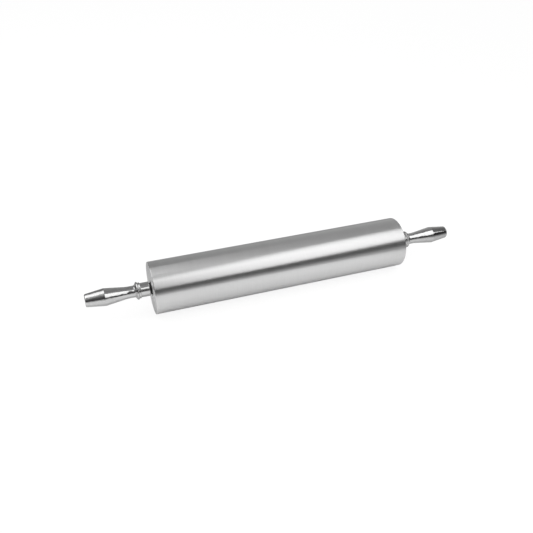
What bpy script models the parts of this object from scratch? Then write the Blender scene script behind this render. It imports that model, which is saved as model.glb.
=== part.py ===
"""An aluminium rolling pin. The barrel turns on two sealed ball bearings around a steel rod, and the
rod's ends carry two turned handles.

Every piece but the clips, the cages and the balls is turned about the X axis, which is the pin's own
axis. The origin is the middle of the barrel, left is -X and right is +X. All sizes are in metres.
"""

from math import acos, asin, ceil, cos, pi, radians, sin, sqrt, tan

import bmesh
import bpy
from mathutils import Matrix, Vector

# Clearances between separate pieces
SEAT_GAP = 0.0003
RUNNING_GAP = 0.0004

# Barrel
BARREL_LENGTH = 0.4545
BARREL_DIAMETER = 0.0889
BARREL_WALL = 0.00635
BARREL_EDGE_ROUND = 0.001

# End plugs, pressed into the barrel's bored-out ends
PLUG_SEAT_DEPTH = 0.018
PLUG_SEAT_STEP = 0.001
PLUG_RIM_WALL = 0.0045
PLUG_WEB = 0.008
PLUG_HUB_WALL = 0.005
PLUG_FILLET = 0.002
MOUTH_DEPTH = 0.005
MOUTH_LIP = 0.003
MOUTH_CHAMFER = 0.0005
CLIP_BACKING = 0.002

# Ball bearings: 12 mm bore, 32 mm outside, 10 mm wide once all of this is added up
BEARING_BORE = 0.012
RING_WALL = 0.001725
RING_SIDE = 0.002025
RING_CHAMFER = 0.0005
RACE_DEPTH = 0.0014
BALL_DIAMETER = 0.00595
BALL_COUNT = 7
SEAL_THICKNESS = 0.0006
SEAL_INSET = 0.0002
SEAL_SEAT = 0.001
CAGE_CLEARANCE = 0.0005
CAGE_FINGER = 0.0016

# Spring clips that hold the bearings in the plugs
CLIP_THICKNESS = 0.0012
CLIP_WIDTH = 0.0026
CLIP_BITE = 0.001
CLIP_MOUTH = radians(40)
CLIP_EAR_DIAMETER = 0.0038
CLIP_EAR_OVERLAP = 0.001
CLIP_HOLE_DIAMETER = 0.0015

# Rod, and the spacers that hold the handles off the barrel
ROD_DIAMETER = 0.015
STUD_DIAMETER = 0.010
STUD_LENGTH = 0.030
STUD_CHAMFER = 0.001
SPACER_NOSE_WALL = 0.0022
SPACER_FLANGE_DIAMETER = 0.0195
SPACER_NOSE_LENGTH = 0.0022
HANDLE_STANDOFF = 0.003

# Handles, from the barrel outwards
COLLAR_DIAMETER = 0.0241
COLLAR_LENGTH = 0.0156
COLLAR_EDGE_ROUND = 0.0006
BEAD_HEIGHT = 0.0015
BEAD_WIDTH = 0.0018
BEAD_ROUND = 0.0008
GROOVE_DEPTH = 0.0005
RIDGE_RISE = 0.0050
RIDGE_INNER_FLANK = 0.0031
RIDGE_OUTER_FLANK = 0.0042
RIDGE_ROUND = 0.0006
COVE_RADIUS = 0.0022
NECK_DIAMETER = 0.0199
NECK_LENGTH = 0.0128
NECK_BLEND_RADIUS = 0.060
TAPER_LENGTH = 0.0356
SWELL_DIAMETER = 0.0295
NOSE_LENGTH = 0.0317
TIP_DIAMETER = 0.0214
TIP_ROUND = 0.0024
SOCKET_SPARE = 0.002
DRILL_POINT = radians(118)

# Facets round each kind of piece, and how far a facet may stray from an arc
BARREL_SIDES = 72
PLUG_SIDES = 32
HANDLE_SIDES = 32
BEARING_SIDES = 24
CLIP_SIDES = 24
CLIP_EAR_SIDES = 10
POCKET_SIDES = 12
CAGE_SIDES_A_BALL = 6
FACET_SAG = 0.00015
BALL_SPLIT_COUNT = 2
SMOOTH_BELOW = radians(32)

# The most of a side that one rounding may take, and how close two points are one
ROUNDING_SHARE = 0.45
SAME_POINT = 1e-7

# What follows from the sizes above. Depths run inwards from the barrel's end face
half_length = BARREL_LENGTH / 2
barrel_radius = BARREL_DIAMETER / 2
bore_radius = barrel_radius - BARREL_WALL
plug_seat_radius = bore_radius + PLUG_SEAT_STEP

ball_radius = BALL_DIAMETER / 2
race_radius = ball_radius + SEAT_GAP
ring_bore_radius = BEARING_BORE / 2
pitch_radius = ring_bore_radius + RING_WALL + race_radius
bearing_radius = pitch_radius + race_radius + RING_WALL
bearing_width = BALL_DIAMETER + 2 * RING_SIDE
inner_land = pitch_radius - race_radius + RACE_DEPTH
outer_land = pitch_radius + race_radius - RACE_DEPTH

seat_bore_radius = bearing_radius + SEAT_GAP
clip_groove_radius = seat_bore_radius + CLIP_BITE
bearing_outboard = MOUTH_DEPTH + SEAT_GAP
bearing_middle = bearing_outboard + bearing_width / 2
bearing_inboard = bearing_outboard + bearing_width
clip_outboard = bearing_inboard + SEAT_GAP
clip_inboard = clip_outboard + CLIP_THICKNESS
hub_end = clip_inboard + SEAT_GAP + CLIP_BACKING

journal_radius = ring_bore_radius - SEAT_GAP
stud_radius = STUD_DIAMETER / 2
socket_radius = stud_radius + SEAT_GAP


def finish(name, colour, roughness, metallic):
    """A plain material of the piece's colour and gloss."""
    material = bpy.data.materials.new(name)
    material.use_nodes = True
    shader = material.node_tree.nodes["Principled BSDF"]
    shader.inputs["Base Color"].default_value = (*colour, 1)
    shader.inputs["Roughness"].default_value = roughness
    shader.inputs["Metallic"].default_value = metallic
    material.diffuse_color = (*colour, 1)
    return material


def arc_steps(radius, turn):
    """How many straight steps keep an arc within the facet sag."""
    step = 2 * acos(max(0, 1 - FACET_SAG / radius))
    return max(1, ceil(turn / step))


def rounded(corners, closed):
    """The outline through (along, radius, rounding) corners, with each rounded corner an arc.

    A rounding is held to what its two sides have room for.
    """
    points = []
    count = len(corners)
    for i, (along, radius, rounding) in enumerate(corners):
        here = Vector((along, radius))
        inside = closed or 0 < i < count - 1
        if rounding <= 0 or not inside:
            points.append(here)
            continue
        back = Vector(corners[i - 1][:2]) - here
        on = Vector(corners[(i + 1) % count][:2]) - here
        turn = pi - back.angle(on)
        room = ROUNDING_SHARE * min(back.length, on.length)
        reach = min(rounding * tan(turn / 2), room)
        arc_radius = reach / tan(turn / 2)
        middle = here + (back.normalized() + on.normalized()).normalized() * (arc_radius / cos(turn / 2))
        first = here + back.normalized() * reach - middle
        last = here + on.normalized() * reach - middle
        steps = arc_steps(arc_radius, turn)
        for step in range(steps + 1):
            share = step / steps
            swing = (sin((1 - share) * turn) * first + sin(share * turn) * last) / sin(turn)
            points.append(middle + swing)
    return points


def object_of(name, mesh, material, parent):
    """A visible piece, hung on its parent if it has one."""
    mesh.materials.append(material)
    piece = bpy.data.objects.new(name, mesh)
    piece.parent = parent
    bpy.context.scene.collection.objects.link(piece)
    return piece


def mesh_of(name, bm):
    """The bmesh as a mesh with its faces pointing out, smooth but for its sharp edges."""
    bmesh.ops.recalc_face_normals(bm, faces=bm.faces)
    mesh = bpy.data.meshes.new(name)
    bm.to_mesh(mesh)
    bm.free()
    mesh.shade_smooth()
    mesh.set_sharp_from_angle(angle=SMOOTH_BELOW)
    return mesh


def turned(name, corners, sides, material, parent=None, closed=True):
    """A piece turned about X from its outline. One facet's middle is at the bottom, so it can lie flat.

    A closed outline is a ring's section. An open one starts and ends on the axis.
    """
    bm = bmesh.new()
    lowest = Matrix.Rotation(pi / sides, 3, "X") @ Vector((0, 0, -1))
    points = [Vector((along, 0, 0)) + lowest * radius for along, radius in rounded(corners, closed)]
    verts = [bm.verts.new(point) for point in points]
    edges = [bm.edges.new(pair) for pair in zip(verts, verts[1:])]
    if closed:
        edges.append(bm.edges.new((verts[-1], verts[0])))
    bmesh.ops.spin(
        bm, geom=verts + edges, cent=(0, 0, 0), axis=(1, 0, 0), angle=2 * pi, steps=sides, use_merge=True
    )
    bmesh.ops.remove_doubles(bm, verts=bm.verts, dist=SAME_POINT)
    return object_of(name, mesh_of(name, bm), material, parent)


def cutter(name, bm):
    """A hidden solid that others are cut by or joined with."""
    helper = bpy.data.objects.new(name, mesh_of(name, bm))
    helper.hide_render = True
    helper.display_type = "WIRE"
    bpy.context.scene.collection.objects.link(helper)
    return helper


def combine(piece, helper, operation):
    """An exact Boolean of the piece with a helper."""
    modifier = piece.modifiers.new(helper.name, "BOOLEAN")
    modifier.operation = operation
    modifier.solver = "EXACT"
    modifier.object = helper


def rods(name, places, radius, length, sides):
    """Round bars in one helper, each along the local Z of one of the places."""
    bm = bmesh.new()
    for place in places:
        bmesh.ops.create_cone(
            bm, cap_ends=True, segments=sides, radius1=radius, radius2=radius, depth=length, matrix=place
        )
    return cutter(name, bm)


def barrel_tube(material):
    """The rolled surface: a thick tube whose ends are bored out to a shoulder for the plugs."""
    shoulder = half_length - PLUG_SEAT_DEPTH
    corners = [
        (-half_length, barrel_radius, BARREL_EDGE_ROUND),
        (half_length, barrel_radius, BARREL_EDGE_ROUND),
        (half_length, plug_seat_radius, 0),
        (shoulder, plug_seat_radius, 0),
        (shoulder, bore_radius, 0),
        (-shoulder, bore_radius, 0),
        (-shoulder, plug_seat_radius, 0),
        (-half_length, plug_seat_radius, 0),
    ]
    turned("barrel_tube", corners, BARREL_SIDES, material)


def depths(side, corners):
    """Corners given by their depth inside the barrel's end face, as places along X."""
    return [(side * (half_length - depth), radius, rounding) for depth, radius, rounding in corners]


def end_plug(prefix, side, material):
    """A turned cap that closes the barrel: a disc with a seated rim, and a hub bored for the bearing."""
    outside = plug_seat_radius - SEAT_GAP
    inside_rim = outside - PLUG_RIM_WALL
    rim_end = PLUG_SEAT_DEPTH - SEAT_GAP
    hub = clip_groove_radius + PLUG_HUB_WALL
    mouth = bearing_radius - MOUTH_LIP
    corners = [
        (0, mouth, MOUTH_CHAMFER),
        (0, outside, 0),
        (rim_end, outside, 0),
        (rim_end, inside_rim, 0),
        (PLUG_WEB, inside_rim, PLUG_FILLET),
        (PLUG_WEB, hub, PLUG_FILLET),
        (hub_end, hub, 0),
        (hub_end, seat_bore_radius, 0),
        (clip_inboard + SEAT_GAP, seat_bore_radius, 0),
        (clip_inboard + SEAT_GAP, clip_groove_radius, 0),
        (clip_outboard - SEAT_GAP, clip_groove_radius, 0),
        (clip_outboard - SEAT_GAP, seat_bore_radius, 0),
        (MOUTH_DEPTH, seat_bore_radius, 0),
        (MOUTH_DEPTH, mouth, 0),
    ]
    turned(prefix + "end_plug", depths(side, corners), PLUG_SIDES, material)


def race(direction):
    """Corners of a ball groove, by their distance from the ring's middle.

    direction is 1 on the ring inside the balls and -1 on the ring outside them.
    """
    half_width = sqrt(race_radius**2 - (race_radius - RACE_DEPTH) ** 2)
    edge = asin(half_width / race_radius)
    steps = arc_steps(race_radius, 2 * edge)
    swings = [edge * (1 - 2 * step / steps) for step in range(steps + 1)]
    return [
        (race_radius * sin(swing), pitch_radius - direction * race_radius * cos(swing), 0)
        for swing in swings
    ]


def inner_ring(prefix, side, material, parent):
    """The ring that the rod carries, with its groove outside."""
    half = bearing_width / 2
    corners = [
        (-half, ring_bore_radius, RING_CHAMFER),
        (half, ring_bore_radius, RING_CHAMFER),
        (half, inner_land, 0),
        *race(1),
        (-half, inner_land, 0),
    ]
    corners = [(bearing_middle + along, radius, rounding) for along, radius, rounding in corners]
    turned(prefix + "inner_ring", depths(side, corners), BEARING_SIDES, material, parent)


def outer_ring(prefix, side, material):
    """The ring seated in the plug, with its groove inside and a step on each side for a seal."""
    half = bearing_width / 2
    step_radius = outer_land + SEAL_SEAT
    step_floor = half - SEAL_INSET - SEAL_THICKNESS - SEAT_GAP
    corners = [
        (half, bearing_radius, RING_CHAMFER),
        (-half, bearing_radius, RING_CHAMFER),
        (-half, step_radius, 0),
        (-step_floor, step_radius, 0),
        (-step_floor, outer_land, 0),
        *reversed(race(-1)),
        (step_floor, outer_land, 0),
        (step_floor, step_radius, 0),
        (half, step_radius, 0),
    ]
    corners = [(bearing_middle + along, radius, rounding) for along, radius, rounding in corners]
    turned(prefix + "outer_ring", depths(side, corners), BEARING_SIDES, material)


def seal(prefix, side, facing, name, material):
    """A rubber disc in the outer ring's step that runs clear of the inner ring.

    facing is -1 on the bearing's outboard side and 1 on its inboard side.
    """
    face = bearing_width / 2 - SEAL_INSET
    back = face - SEAL_THICKNESS
    rim = outer_land + SEAL_SEAT - SEAT_GAP
    lip = inner_land + RUNNING_GAP
    corners = [(face, lip, 0), (face, rim, 0), (back, rim, 0), (back, lip, 0)]
    corners = [(bearing_middle + facing * along, radius, rounding) for along, radius, rounding in corners]
    turned(prefix + name, depths(side, corners), BEARING_SIDES, material)


def ball_places():
    """How far round the X axis each ball stands."""
    return [2 * pi * number / BALL_COUNT for number in range(BALL_COUNT)]


def cage(prefix, side, material, parent):
    """A crown cage: a ring outboard of the balls, with fingers between them and round pockets."""
    middle = side * (half_length - bearing_middle)
    back = bearing_width / 2 - SEAL_INSET - SEAL_THICKNESS - RUNNING_GAP
    inside = inner_land + CAGE_CLEARANCE
    outside = outer_land - CAGE_CLEARANCE
    corners = [
        (side * back, inside, 0),
        (side * back, outside, 0),
        (-side * CAGE_FINGER, outside, 0),
        (-side * CAGE_FINGER, inside, 0),
    ]
    ring = turned(prefix + "cage", corners, CAGE_SIDES_A_BALL * BALL_COUNT, material, parent)
    ring.location.x = middle
    pockets = [
        Matrix.Translation((middle, 0, 0))
        @ Matrix.Rotation(turn, 4, "X")
        @ Matrix.Translation((0, 0, pitch_radius))
        for turn in ball_places()
    ]
    through = 2 * (outside - inside)
    combine(ring, rods(prefix + "pockets", pockets, race_radius, through, POCKET_SIDES), "DIFFERENCE")


def balls(prefix, side, material, parent):
    """The bearing's balls, each with its origin at its own centre."""
    bm = bmesh.new()
    bmesh.ops.create_icosphere(bm, subdivisions=BALL_SPLIT_COUNT, radius=ball_radius)
    mesh = mesh_of(prefix + "ball", bm)
    mesh.shade_smooth()
    mesh.materials.append(material)
    for number, turn in enumerate(ball_places(), start=1):
        ball = bpy.data.objects.new(f"{prefix}ball_{number}", mesh)
        ball.parent = parent
        out = Matrix.Rotation(turn, 3, "X") @ Vector((0, 0, pitch_radius))
        ball.location = (side * (half_length - bearing_middle), out.y, out.z)
        bpy.context.scene.collection.objects.link(ball)


def clip(prefix, side, material):
    """A spring clip in the plug's groove: an open ring with two eared ends, each with a hole."""
    outside = clip_groove_radius - SEAT_GAP
    inside = outside - CLIP_WIDTH
    middle = side * (half_length - (clip_outboard + clip_inboard) / 2)
    bm = bmesh.new()
    spread = 2 * pi - CLIP_MOUTH
    turns = [CLIP_MOUTH / 2 + spread * step / CLIP_SIDES for step in range(CLIP_SIDES + 1)]
    arms = [Matrix.Rotation(turn, 3, "X") @ Vector((0, 0, 1)) for turn in turns]
    start = Vector((middle - CLIP_THICKNESS / 2, 0, 0))
    rows = [[bm.verts.new(start + arm * radius) for radius in (inside, outside)] for arm in arms]
    faces = [bm.faces.new((a[0], a[1], b[1], b[0])) for a, b in zip(rows, rows[1:])]
    lifted = bmesh.ops.extrude_face_region(bm, geom=faces, use_keep_orig=True)["geom"]
    moved = [item for item in lifted if isinstance(item, bmesh.types.BMVert)]
    bmesh.ops.translate(bm, verts=moved, vec=(CLIP_THICKNESS, 0, 0))
    name = prefix + "bearing_clip"
    ring = object_of(name, mesh_of(name, bm), material, None)

    ear_radius = CLIP_EAR_DIAMETER / 2
    ear_centre = inside - ear_radius + CLIP_EAR_OVERLAP
    ear_turn = CLIP_MOUTH / 2 + ear_radius / ear_centre
    places = [
        Matrix.Translation((middle, 0, 0))
        @ Matrix.Rotation(turn, 4, "X")
        @ Matrix.Translation((0, 0, ear_centre))
        @ Matrix.Rotation(pi / 2, 4, "Y")
        for turn in (ear_turn, -ear_turn)
    ]
    ears = rods(prefix + "clip_ears", places, ear_radius, CLIP_THICKNESS, CLIP_EAR_SIDES)
    holes = rods(
        prefix + "clip_holes", places, CLIP_HOLE_DIAMETER / 2, 2 * CLIP_THICKNESS, CLIP_EAR_SIDES
    )
    combine(ring, ears, "UNION")
    combine(ring, holes, "DIFFERENCE")


def axle_rod(material, parent):
    """The steel rod: shoulders between the bearings, journals through them, and a stud at each end."""
    shoulder = half_length - bearing_inboard - SEAT_GAP
    journal_end = half_length + HANDLE_STANDOFF - SEAT_GAP
    tip = journal_end + STUD_LENGTH
    half = [
        (shoulder, ROD_DIAMETER / 2, 0),
        (shoulder, journal_radius, 0),
        (journal_end, journal_radius, 0),
        (journal_end, stud_radius, 0),
        (tip - STUD_CHAMFER, stud_radius, 0),
        (tip, stud_radius - STUD_CHAMFER, 0),
        (tip, 0, 0),
    ]
    left = [(-along, radius, rounding) for along, radius, rounding in reversed(half)]
    turned("axle_rod", left + half, BEARING_SIDES, material, parent, closed=False)


def spacer(prefix, side, material, parent):
    """A black sleeve between the bearing's inner ring and the handle, with a flange that shows."""
    nose = ring_bore_radius + SPACER_NOSE_WALL
    nose_end = bearing_outboard - SEAT_GAP
    flange_start = nose_end - SPACER_NOSE_LENGTH
    outer_end = SEAT_GAP - HANDLE_STANDOFF
    corners = [
        (nose_end, ring_bore_radius, 0),
        (nose_end, nose, 0),
        (flange_start, nose, 0),
        (flange_start, SPACER_FLANGE_DIAMETER / 2, 0),
        (outer_end, SPACER_FLANGE_DIAMETER / 2, 0),
        (outer_end, ring_bore_radius, 0),
    ]
    turned(prefix + "spacer", depths(side, corners), BEARING_SIDES, material, parent)


def handle_outline():
    """The handle's corners by their distance out from the barrel's face, from its socket round to it."""
    collar = COLLAR_DIAMETER / 2
    neck = NECK_DIAMETER / 2
    bead = collar + BEAD_HEIGHT
    crest = neck + RIDGE_RISE

    collar_start = HANDLE_STANDOFF
    bead_start = collar_start + COLLAR_LENGTH
    bead_end = bead_start + BEAD_WIDTH
    crest_at = bead_end + RIDGE_INNER_FLANK
    neck_start = crest_at + RIDGE_OUTER_FLANK
    taper_start = neck_start + NECK_LENGTH
    swell_at = taper_start + TAPER_LENGTH
    tip_at = swell_at + NOSE_LENGTH

    socket_end = collar_start + STUD_LENGTH + SOCKET_SPARE
    point_length = socket_radius / tan(DRILL_POINT / 2)
    return [
        (socket_end + point_length, 0, 0),
        (socket_end, socket_radius, 0),
        (collar_start, socket_radius, 0),
        (collar_start, collar, COLLAR_EDGE_ROUND),
        (bead_start, collar, 0),
        (bead_start, bead, BEAD_ROUND),
        (bead_end, bead, BEAD_ROUND),
        (bead_end, bead - GROOVE_DEPTH, 0),
        (crest_at, crest, RIDGE_ROUND),
        (neck_start, neck, COVE_RADIUS),
        (taper_start, neck, NECK_BLEND_RADIUS),
        (swell_at, SWELL_DIAMETER / 2, 0),
        (tip_at, TIP_DIAMETER / 2, TIP_ROUND),
        (tip_at, 0, 0),
    ]


def handle(prefix, side, material, parent):
    """A one-piece handle with a collar, a beaded ridge, a waisted grip and a tapered nose."""
    outline = handle_outline()
    corners = [(side * (half_length + out), radius, rounding) for out, radius, rounding in outline]
    turned(prefix + "handle", corners, HANDLE_SIDES, material, parent, closed=False)


def axis_empty(name, along):
    """An empty on the pin's axis that turning pieces hang on."""
    empty = bpy.data.objects.new(name, None)
    empty.empty_display_type = "SINGLE_ARROW"
    empty.empty_display_size = barrel_radius
    empty.location.x = along
    bpy.context.scene.collection.objects.link(empty)
    return empty


def main():
    for item in list(bpy.data.objects):
        bpy.data.objects.remove(item)

    brushed = finish("brushed_aluminium", (0.75, 0.75, 0.75), 0.28, 1.0)
    faced = finish("faced_aluminium", (0.72, 0.72, 0.72), 0.36, 1.0)
    polished = finish("polished_aluminium", (0.74, 0.74, 0.74), 0.12, 1.0)
    steel = finish("ground_steel", (0.56, 0.56, 0.57), 0.28, 1.0)
    ball_steel = finish("ball_steel", (0.70, 0.70, 0.71), 0.08, 1.0)
    spring_steel = finish("spring_steel", (0.10, 0.10, 0.11), 0.45, 1.0)
    rubber = finish("seal_rubber", (0.012, 0.012, 0.012), 0.55, 0.0)
    acetal = finish("black_acetal", (0.018, 0.018, 0.018), 0.35, 0.0)
    nylon = finish("cage_nylon", (0.72, 0.64, 0.46), 0.50, 0.0)

    axle = axis_empty("axle_axis", 0)
    barrel_tube(brushed)
    axle_rod(steel, axle)
    for prefix, side in (("left_", -1), ("right_", 1)):
        cage_axis = axis_empty(prefix + "cage_axis", 0)
        end_plug(prefix, side, faced)
        outer_ring(prefix, side, steel)
        inner_ring(prefix, side, steel, axle)
        seal(prefix, side, -1, "outboard_seal", rubber)
        seal(prefix, side, 1, "inboard_seal", rubber)
        cage(prefix, side, nylon, cage_axis)
        balls(prefix, side, ball_steel, cage_axis)
        clip(prefix, side, spring_steel)
        spacer(prefix, side, acetal, axle)
        handle(prefix, side, polished, axle)


main()
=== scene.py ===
"""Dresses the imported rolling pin: finely turned pieces with satin, faced and polished finishes, on a pale
floor under soft studio light.

Every piece is made about its own Z axis, and is then laid along the pin's axis, which is X. Sizes are in
metres.
"""

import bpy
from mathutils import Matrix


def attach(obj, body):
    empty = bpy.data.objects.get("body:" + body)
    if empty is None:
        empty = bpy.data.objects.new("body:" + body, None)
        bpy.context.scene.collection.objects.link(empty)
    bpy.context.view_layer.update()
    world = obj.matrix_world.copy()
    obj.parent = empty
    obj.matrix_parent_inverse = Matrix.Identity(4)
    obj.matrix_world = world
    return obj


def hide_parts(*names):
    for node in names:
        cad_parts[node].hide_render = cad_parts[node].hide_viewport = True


bl_info = {
    "name": "Aluminium Rolling Pin",
    "version": (1, 0, 0),
    "blender": (4, 5, 0),
    "location": "3D View > Sidebar > Rolling Pin",
    "description": "Turns the pieces of a ball-bearing rolling pin and sets a studio for it",
    "category": "Add Mesh",
}

from math import acos, ceil, cos, pi, radians, sin, tan

import bmesh
import bpy
from bpy.props import FloatProperty, FloatVectorProperty, PointerProperty
from bpy.types import Operator, Panel, PropertyGroup
from mathutils import Matrix, Vector

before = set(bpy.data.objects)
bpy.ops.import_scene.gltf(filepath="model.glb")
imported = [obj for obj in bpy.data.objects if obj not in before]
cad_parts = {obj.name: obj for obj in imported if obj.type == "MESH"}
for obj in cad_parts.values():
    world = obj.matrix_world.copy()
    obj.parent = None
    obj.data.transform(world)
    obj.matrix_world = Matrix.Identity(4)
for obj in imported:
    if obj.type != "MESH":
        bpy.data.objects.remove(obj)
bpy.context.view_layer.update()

# Clearances between separate pieces: where the real ones touch, and where they run past each other
SEAT_GAP = 0.0003
RUNNING_GAP = 0.0004

# Facets round a turned piece
BARREL_SIDES = 256
HANDLE_SIDES = 160
RING_SIDES = 128

# The most that one step of a rounding turns, and the radius above which its steps are finer
ARC_STEP = radians(9)
BLEND_STEP = radians(1.2)
BLEND_ABOVE = 0.01
LEAST_STEPS = 3

# How much of its shorter side a rounding may take, and the angle above which an edge stays sharp
ROUNDING_SHARE = 0.45
SHARP_ABOVE = radians(30)

# Lengths too small to count: from the axis, and of an edge that a carving leaves
ON_AXIS = 1e-7
SLIVER = 5e-7

# A turned piece's own Z axis, laid along X
ALONG_PIN = Matrix.Rotation(pi / 2, 4, "Y")


def length(name, description, default):
    """A length that a user can change."""
    return FloatProperty(
        name=name, description=description, default=default, min=0, subtype="DISTANCE", unit="LENGTH"
    )


def position(name, description, default):
    """A place to either side of the pin's middle that a user can change."""
    return FloatProperty(
        name=name, description=description, default=default, subtype="DISTANCE", unit="LENGTH"
    )


def angle(name, description, degrees):
    """An angle that a user can change."""
    return FloatProperty(name=name, description=description, default=radians(degrees), subtype="ANGLE")


def share(name, description, default):
    """A share from 0 to 1 that a user can change."""
    return FloatProperty(name=name, description=description, default=default, min=0, max=1, subtype="FACTOR")


def strength(name, description, default):
    """A brightness that a user can change."""
    return FloatProperty(name=name, description=description, default=default, min=0)


def colour(name, description, default):
    """A colour that a user can change."""
    return FloatVectorProperty(
        name=name, description=description, default=default, min=0, max=1, size=3, subtype="COLOR"
    )


class PinSizes(PropertyGroup):
    """The pin's main sizes."""

    barrel_length: length("Barrel length", "Length of the rolled surface", 0.4545)
    barrel_diameter: length("Barrel diameter", "Outside diameter of the barrel", 0.0889)
    barrel_wall: length("Barrel wall", "Thickness of the barrel's tube", 0.00635)
    edge_round: length("Edge rounding", "Radius of the barrel's end edges", 0.001)
    standoff: length("Handle standoff", "Gap from the barrel's face to the handle", 0.003)
    collar_diameter: length("Collar diameter", "Diameter of the handle's collar", 0.0241)
    collar_length: length("Collar length", "Length of the handle's collar", 0.0156)
    bead_height: length("Bead height", "How far the bead stands off the collar", 0.0015)
    bead_width: length("Bead width", "Width of the bead beside the ridge", 0.0018)
    ridge_rise: length("Ridge rise", "Height of the ridge above the neck", 0.0050)
    neck_diameter: length("Neck diameter", "Narrowest diameter of the grip", 0.0199)
    neck_length: length("Neck length", "Length of the straight neck", 0.0128)
    taper_length: length("Taper length", "Length from the neck to the swell", 0.0356)
    swell_diameter: length("Swell diameter", "Widest diameter of the grip", 0.0295)
    nose_length: length("Nose length", "Length from the swell to the tip", 0.0317)
    tip_diameter: length("Tip diameter", "Diameter of the nose at its flat tip", 0.0214)
    tip_round: length("Tip rounding", "Radius of the tip's edge", 0.0024)


class PinFinishes(PropertyGroup):
    """The colours and gloss of the pin's metals and plastics."""

    brushed_colour: colour("Brushed colour", "Colour of the barrel", (0.79, 0.79, 0.79))
    brushed_roughness: share("Brushed roughness", "How dull the barrel is", 0.29)
    faced_colour: colour("Faced colour", "Colour of the end faces", (0.93, 0.93, 0.93))
    faced_roughness: share("Faced roughness", "How dull the end faces are", 0.36)
    polished_colour: colour("Polished colour", "Colour of the handles", (0.74, 0.74, 0.74))
    polished_roughness: share("Polished roughness", "How dull the handles are", 0.13)
    steel_colour: colour("Steel colour", "Colour of the rod and the rings", (0.56, 0.56, 0.57))
    ball_colour: colour("Ball colour", "Colour of the bearing balls", (0.70, 0.70, 0.71))
    spring_colour: colour("Spring steel colour", "Colour of the clips", (0.10, 0.10, 0.11))
    rubber_colour: colour("Rubber colour", "Colour of the seals", (0.012, 0.012, 0.012))
    acetal_colour: colour("Acetal colour", "Colour of the black spacers", (0.018, 0.018, 0.018))
    nylon_colour: colour("Nylon colour", "Colour of the ball cages", (0.72, 0.64, 0.46))


class PinStudio(PropertyGroup):
    """The camera and the light."""

    azimuth: angle("Azimuth", "How far round the camera stands", -19.319)
    elevation: angle("Elevation", "How high the camera stands", 33.273)
    distance: length("Distance", "From the camera to the point that it looks at", 1.095)
    aim_along: position("Aim along", "Where along the pin the camera looks", -0.02433)
    aim_above: position("Aim above", "How far above the pin's axis the camera looks", -0.00107)
    lens: FloatProperty(
        name="Lens", description="Focal length of the camera", default=42.21, min=1, unit="CAMERA"
    )
    key_strength: strength("Key light", "Brightness of the main softbox", 1.20)
    fill_strength: strength("Fill light", "Brightness of the large far softbox", 0.93)
    room_level: share("Room level", "How bright the room is to dull surfaces", 0.62)


def sizes():
    """The sizes as they are set now."""
    return bpy.context.scene.pin_sizes


def finishes():
    """The finishes as they are set now."""
    return bpy.context.scene.pin_finishes


def studio():
    """The camera and the light as they are set now."""
    return bpy.context.scene.pin_studio


class Value:
    """A number that changes over a surface. An expression on values adds its Math nodes."""

    def __init__(self, shader, socket):
        self.shader = shader
        self.socket = socket

    def __add__(self, other):
        return self.shader.math("ADD", self, other)

    __radd__ = __add__

    def __mul__(self, other):
        return self.shader.math("MULTIPLY", self, other)

    __rmul__ = __mul__

    def __sub__(self, other):
        return self.shader.math("SUBTRACT", self, other)

    def __rsub__(self, other):
        return self.shader.math("SUBTRACT", other, self)

    def __truediv__(self, other):
        return self.shader.math("DIVIDE", self, other)

    def __rtruediv__(self, other):
        return self.shader.math("DIVIDE", other, self)

    def __pow__(self, other):
        return self.shader.math("POWER", self, other)

    def __rpow__(self, other):
        return self.shader.math("POWER", other, self)

    def ramp(self, low, high):
        """0 below low and 1 above high, with a smooth step between."""
        return self.shader.node(
            "ShaderNodeMapRange",
            {"interpolation_type": "SMOOTHSTEP"},
            {"Value": self, "From Min": low, "From Max": high},
        )

    def between(self, rise, fall):
        """0 below the rise and above the fall, and 1 between them. Each is a low and a high."""
        return self.ramp(*rise) * (1 - self.ramp(*fall))


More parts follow.
